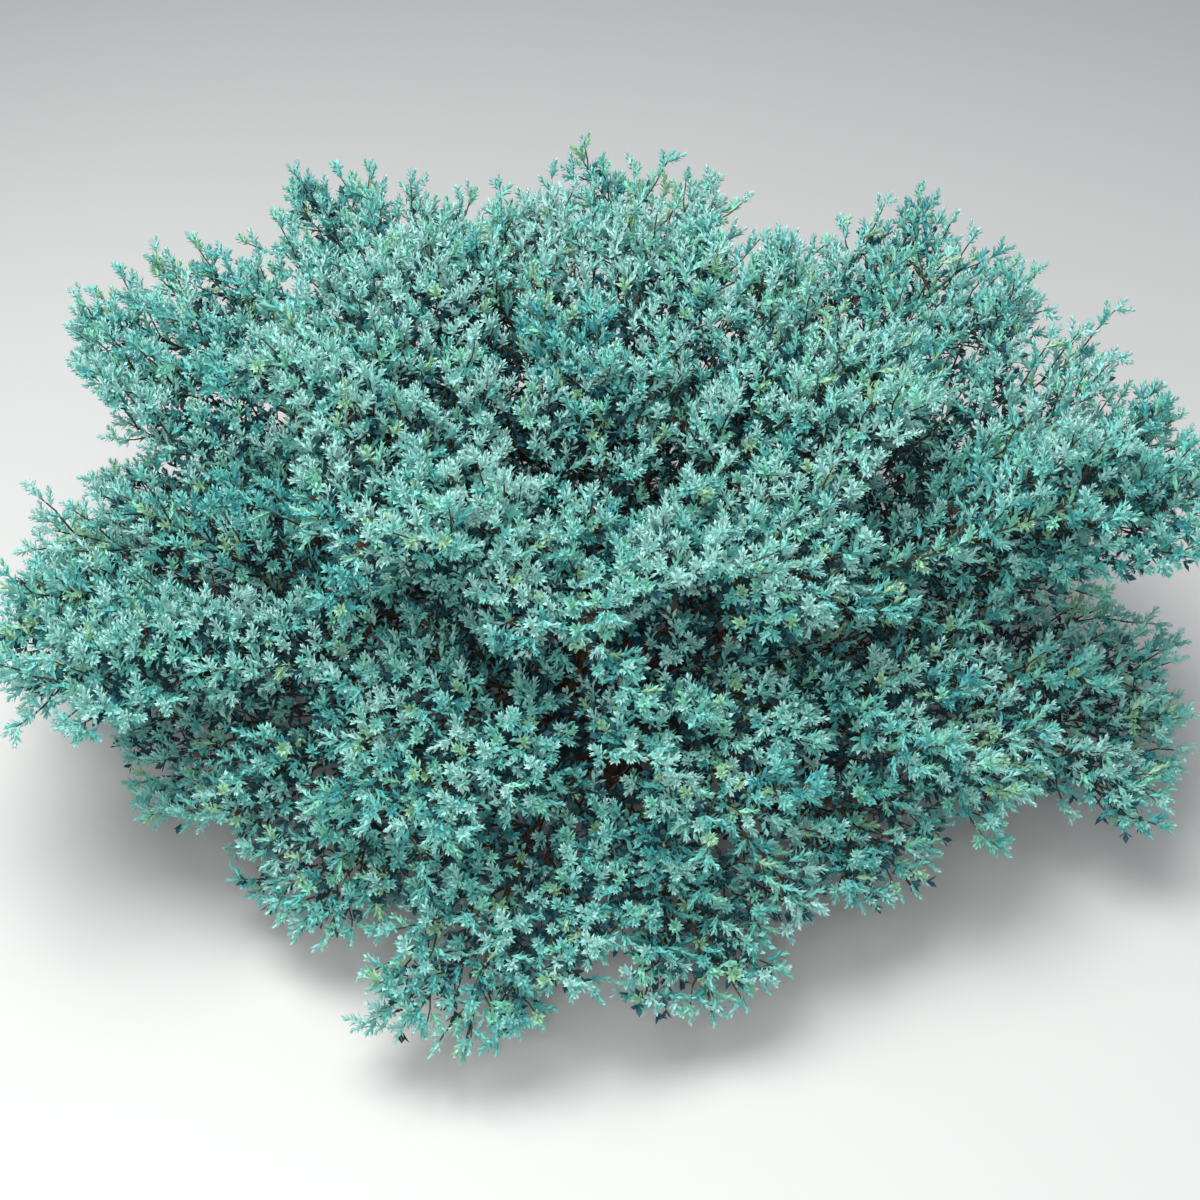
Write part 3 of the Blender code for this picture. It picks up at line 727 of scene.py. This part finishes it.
def needle(root_height, turn, spread, length, width):
    """One needle: a kite folded along its middle, closed to a slim wedge of four triangles. It leaves
    the axis at root_height and stands out from it by spread."""
    out = np.array([math.cos(turn), math.sin(turn), 0.0])
    side = np.array([-math.sin(turn), math.cos(turn), 0.0])
    ahead = np.array([0.0, 0.0, 1.0])
    way = math.sin(spread) * out + math.cos(spread) * ahead
    inner = math.sin(spread) * ahead - math.cos(spread) * out
    root = root_height * ahead
    middle = root + NEEDLE_WIDEST * length * way + NEEDLE_FOLD * width * inner
    tip = root + length * way + NEEDLE_CURL * length * inner
    return np.array([root, middle + 0.5 * width * side, middle - 0.5 * width * side, tip])


WEDGE = np.array([(0, 2, 1), (0, 1, 3), (0, 3, 2), (1, 2, 3)])


def spindle(length, thick):
    """A closed three-sided spindle along +Z, thickest near its middle."""
    turn = 2 * math.pi * np.arange(3) / 3
    middle = np.column_stack([
        thick * np.cos(turn), thick * np.sin(turn), np.full(3, SPINDLE_WIDEST * length),
    ])
    points = np.concatenate([[(0, 0, SPINDLE_ROOT)], middle, [(0, 0, SPINDLE_END * length)]])
    triangles = np.array([(0, 2, 1), (0, 3, 2), (0, 1, 3), (1, 2, 4), (2, 3, 4), (3, 1, 4)])
    return points, outward(points, triangles)


def shoot_surfaces(form):
    """A shoot along +Z: needles in whorls of three, each whorl turned half a step and a little more
    from the last, standing out less and less towards the tip, on a slim spindle. A needle at share s
    of the whorls is 0.88 + 0.20 sin(pi s) - 0.12 s of its usual length. Returns the shoot's lower
    and its outer part, each as points and triangles."""
    parts = [[spindle(form.length, form.thick)] if form.thick else [], []]
    first, last = form.spread
    usual, width = form.longer * NEEDLE_LENGTH, form.wider * NEEDLE_WIDTH
    for whorl in range(form.whorls):
        share = whorl / (form.whorls - 1)
        angle = math.radians(first + (last - first) * share**CLOSING)
        size = usual * (0.88 + 0.20 * math.sin(math.pi * share) - 0.12 * share)
        height = form.length * (WHORLS_FROM + WHORLS_OVER * share)
        for step in range(3):
            turn = 2 * math.pi * (step + 0.5 * (whorl % 2)) / 3 + WHORL_TURN * whorl
            points = needle(height, turn, angle, size, width)
            parts[0 if share < OUTER_PART else 1].append((points, outward(points, WEDGE)))
    return [gather(part) for part in parts]


def placed(surface, shoots):
    """A surface set at every shoot: each point is the shoot's base plus its size times the point's
    coordinates along the shoot's own three directions."""
    points, triangles = surface
    across, up = frames_for(shoots.way, shoots.roll)
    axes = np.stack([across, up, shoots.way], axis=1)
    sizes = shoots.size[:, None, None]
    many = shoots.base[:, None, :] + sizes * np.einsum("pk,nkj->npj", points, axes)
    every = triangles[None] + len(points) * np.arange(len(shoots.base))[:, None, None]
    return many.reshape(-1, 3), every.reshape(-1, 3)


def light_on(places, light_from):
    """From how many sides light reaches each shoot first, and the fewest others between it and any
    light. From every side the crown is cut into square columns along the light, and the shoots in a
    column are numbered from the outside in."""
    lit, fewest = np.zeros(len(places), int), np.full(len(places), len(places))
    for height, bearings in light_from:
        rise = math.radians(height)
        for bearing in 2 * math.pi * np.arange(bearings) / bearings:
            light = np.array([
                math.cos(rise) * math.cos(bearing),
                math.cos(rise) * math.sin(bearing),
                math.sin(rise),
            ])
            across, up = (row[0] for row in frames_for(light[None], np.zeros(1)))
            column = np.column_stack([places @ across, places @ up]) / LIGHT_COLUMN
            column = np.floor(column).astype(int)
            number = column[:, 0] * COLUMNS_APART + column[:, 1]
            order = np.lexsort((-(places @ light), number))
            begins = np.concatenate([[True], np.diff(number[order]) != 0])
            first = np.maximum.accumulate(np.where(begins, np.arange(len(order)), 0))
            before = np.arange(len(order)) - first
            lit[order] += before == 0
            fewest[order] = np.minimum(fewest[order], before)
    return lit, fewest


def shade_on(places):
    """For each shoot in the crown, whether it stands in the light, half in it or in the shade, and
    whether it has died off there."""
    lit_above, above = light_on(places, LIGHT_FROM_ABOVE)
    lit_beside, beside = light_on(places, LIGHT_FROM_SIDE)
    half_lit = (lit_above > 0) | (lit_beside >= LIT_BESIDE)
    shade = np.select([lit_above >= WELL_LIT, half_lit], [LIT, HALF_LIT], SHADED)
    before = np.minimum(above, beside)
    thinned = np.arange(len(places)) % THINNED == 0
    return shade, (before > DEEP) | (before == DEEP) & thinned


def tint_of(tone, age, green, chance):
    """The name of the tint for each shoot, from its tone between 0, dark, and 1, light. Shoots that
    are worn or in the shade get a near-black tint, painted shade on the shaded ones, or at times dead
    brown.
    """
    limits, tints = zip(*TINT_UNDER)
    names = np.select([tone < limit for limit in limits], tints, "silver")
    names = np.where(chance < FRESH_TO_SAGE * green, "fresh", names)
    names = np.where(chance < green, "sage", names)
    # painted shade: shoots in the shade get the near-black tint as well as worn ones
    worn = np.where(chance < DEAD_CHANCE, "dead", "old")
    return np.where(age > 0.5, worn, names)


def foliage(materials):
    """Twigs and needles of every mass, joined by tier and tint."""
    shapes = [shoot_surfaces(form) for form in FORMS]
    grown = [grow(mass, limb, np.random.default_rng([SEED, mass])) for mass, limb in enumerate(LIMBS)]
    middles = [shoots.base + SHOOT_LENGTH * shoots.way for _, shoots in grown]
    shades, died = shade_on(np.concatenate(middles))
    parts = np.cumsum([len(shoots.base) for _, shoots in grown])[:-1]
    shades, died = np.split(shades, parts), np.split(died, parts)
    made = {}
    for mass, (limb, (twigs, shoots)) in enumerate(zip(LIMBS, grown)):
        rng = np.random.default_rng([SEED, LATE_SEED + mass])
        shade = shades[mass]
        ends = shoots.base + NEEDLE_REACH * shoots.size[:, None] * shoots.way
        kept = inside_box(ends, -BOX_MARGIN) & (ends[:, 2] > LOWEST_NEEDLE) & ~died[mass]
        form = rng.integers(0, LIT_FORMS, len(ends))
        form = np.where(shade == HALF_LIT, HALF_LIT_FORM, form)
        # Painted shade: shoots in the shade, and worn ones out of full light, are marked dark and get
        # the near-black tint.
        worn = (shoots.age > 0.5) & (shade > LIT)
        dark = (shade == SHADED) | worn
        form = np.where(dark, SHADED_FORM, form)[kept]
        shoots = pick(shoots._replace(age=dark), kept)
        chance = rng.random(len(shoots.base))
        green = np.where(form < LIT_FORMS, shoots.green, 0.0)
        lower_tint = tint_of(shoots.tone - LOWER_DARKER, shoots.age, green, chance)
        outer_tint = tint_of(shoots.tone, shoots.age, green, chance)
        tier = limb.tier.name
        made.setdefault((tier, "twigs"), []).extend(
            tube_surface(axis, radii, LEADER_SIDES if len(axis) == LEADER_POINTS else TWIG_SIDES)
            for axis, radii in twigs
        )
        for number, shape in enumerate(shapes):
            for part, tints in enumerate((lower_tint, outer_tint)):
                for tint in np.unique(tints):
                    some = pick(shoots, (form == number) & (tints == tint))
                    if len(some.base):
                        made.setdefault((tier, str(tint)), []).append(placed(shape[part], some))
    for (tier, kind), surfaces in made.items():
        points, triangles = gather(surfaces)
        name = f"twigs_{tier}" if kind == "twigs" else f"needles_{tier}_{kind}"
        piece = mesh_piece(name, points, triangles, materials[kind], smooth=kind == "twigs")
        nodes = [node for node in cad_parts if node.startswith(f"foliage_{tier}")]
        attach(piece, "root")
        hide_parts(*nodes)


def wood(material):
    """The stem and the boughs, with the bark's relief."""
    rng = np.random.default_rng(SEED)
    points, triangles = stem_surface(rng)
    stem = mesh_piece("bark_stem", points, outward(points, triangles), material, smooth=True)
    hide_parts("stem")
    surfaces = []
    for limb in LIMBS:
        tier = limb.tier
        line = limb_curve(limb, np.linspace(BOUGH_FROM, tier.bare + BOUGH_OVERLAP, BOUGH_RINGS))
        radii = np.linspace(tier.root_radius, tier.end_radius, BOUGH_RINGS) * BOUGH_BARK
        relief = bark_relief(line, BOUGH_SIDES, rng)
        points, triangles = tube_surface(line, radii, BOUGH_SIDES, relief)
        surfaces.append((points, outward(points, triangles)))
    boughs = mesh_piece("bark_boughs", *gather(surfaces), material, smooth=True)
    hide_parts(*(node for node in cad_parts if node.startswith("bough")))
    for piece in (stem, boughs):
        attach(piece, "root")


def studio():
    """A pale floor, a soft overhead light with a weaker one from the front, and a pale surround."""
    corners = FLOOR_HALF * np.array([(-1, -1, 0), (1, -1, 0), (1, 1, 0), (-1, 1, 0)])
    floor = mesh_piece(
        "floor", corners, np.array([(0, 1, 2), (0, 2, 3)]),
        new_material("pale matt floor", "#b9b9b6", 0.9),
    )
    world = bpy.data.worlds.new("soft surround")
    world.use_nodes = True
    background = world.node_tree.nodes["Background"]
    background.inputs["Color"].default_value = SURROUND_COLOUR
    background.inputs["Strength"].default_value = SURROUND_STRENGTH
    bpy.context.scene.world = world
    for name, place, size, power in SOFTBOXES:
        light = bpy.data.lights.new(name, "AREA")
        light.shape, light.size, light.energy = "DISK", size, power
        lamp = bpy.data.objects.new(name, light)
        lamp.location = place
        away = unit(np.array(place) - np.array([0, 0, LIGHTS_FACE]))
        lamp.rotation_euler = (math.acos(away[2]), 0, math.atan2(away[1], away[0]) + math.pi / 2)
        bpy.context.scene.collection.objects.link(lamp)


def camera():
    """The photograph's view: from in front and well above level."""
    rise = math.radians(CAMERA_RISE)
    lens = bpy.data.cameras.new("photograph")
    lens.sensor_width = SENSOR_WIDTH
    lens.lens = SENSOR_WIDTH / 2 / math.tan(math.radians(FIELD_OF_VIEW / 2))
    eye = bpy.data.objects.new("photograph", lens)
    height = CAMERA_FACES + CAMERA_DISTANCE * math.sin(rise)
    eye.location = (0.0, -CAMERA_DISTANCE * math.cos(rise), height)
    eye.rotation_euler = (math.pi / 2 - rise, 0.0, 0.0)
    bpy.context.scene.collection.objects.link(eye)
    bpy.context.scene.camera = eye
    bpy.context.scene.view_settings.view_transform = "Standard"


def main():
    """Builds the pieces, the stage and the camera."""
    materials = foliage_materials()
    wood(bark_material())
    foliage(materials)
    studio()
    camera()


main()
